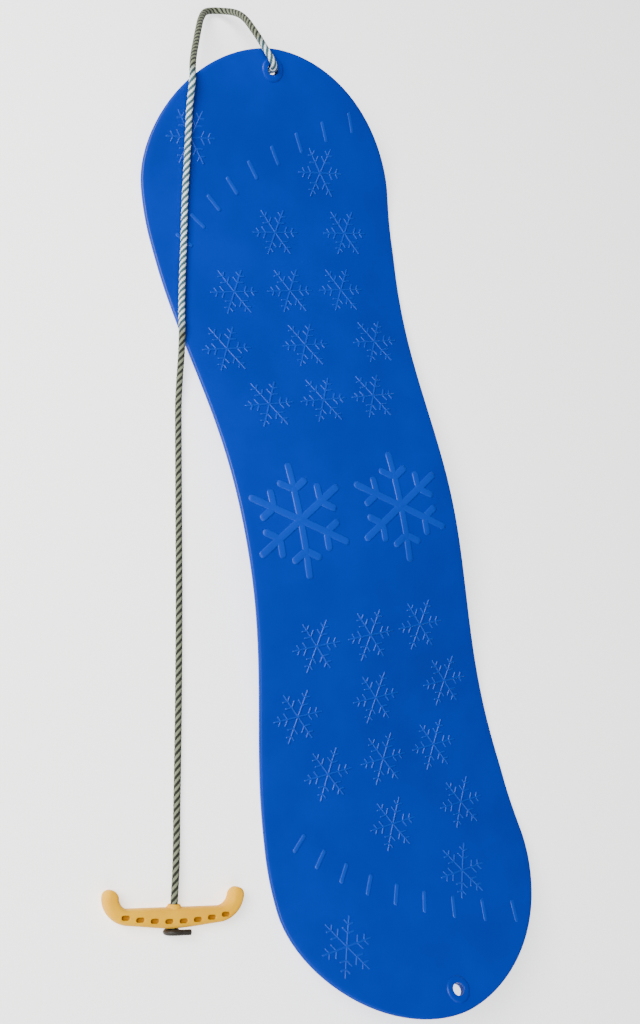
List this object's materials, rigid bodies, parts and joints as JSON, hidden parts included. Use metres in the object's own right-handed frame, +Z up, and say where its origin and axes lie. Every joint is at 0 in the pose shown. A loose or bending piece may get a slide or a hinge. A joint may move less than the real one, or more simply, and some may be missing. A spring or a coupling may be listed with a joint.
{
  "type": "plastic_snowboard",
  "caption": "Child's moulded plastic snowboard with raised snowflakes and grip ribs, rimmed rope holes at nose and tail, a braided pull rope and a turning pull handle.",
  "frame": {"origin": "centre of the board's footprint on the floor, under the middle of its arch", "axes": "+Y towards the nose, +Z up out of the deck, X across the board"},
  "size_m": [0.4302, 0.9848, 0.0722],
  "materials": {
    "board_plastic": "gloss",
    "handle_plastic": "satin",
    "braided_rope": "matte"
  },
  "bodies": {
    "snowboard": {"board": "board_plastic", "pull_rope": "braided_rope", "nose_knot": "braided_rope", "handle_knot": "braided_rope"},
    "handle": {"pull_handle": "handle_plastic"}
  },
  "joints": [
    {"name": "handle_swivel", "type": "hinge", "parent": "snowboard", "child": "handle", "pos_m": [-0.23379, -0.30996, 0.00825], "axis": [0.2555, 0.9668, 0], "continuous": true}
  ]
}
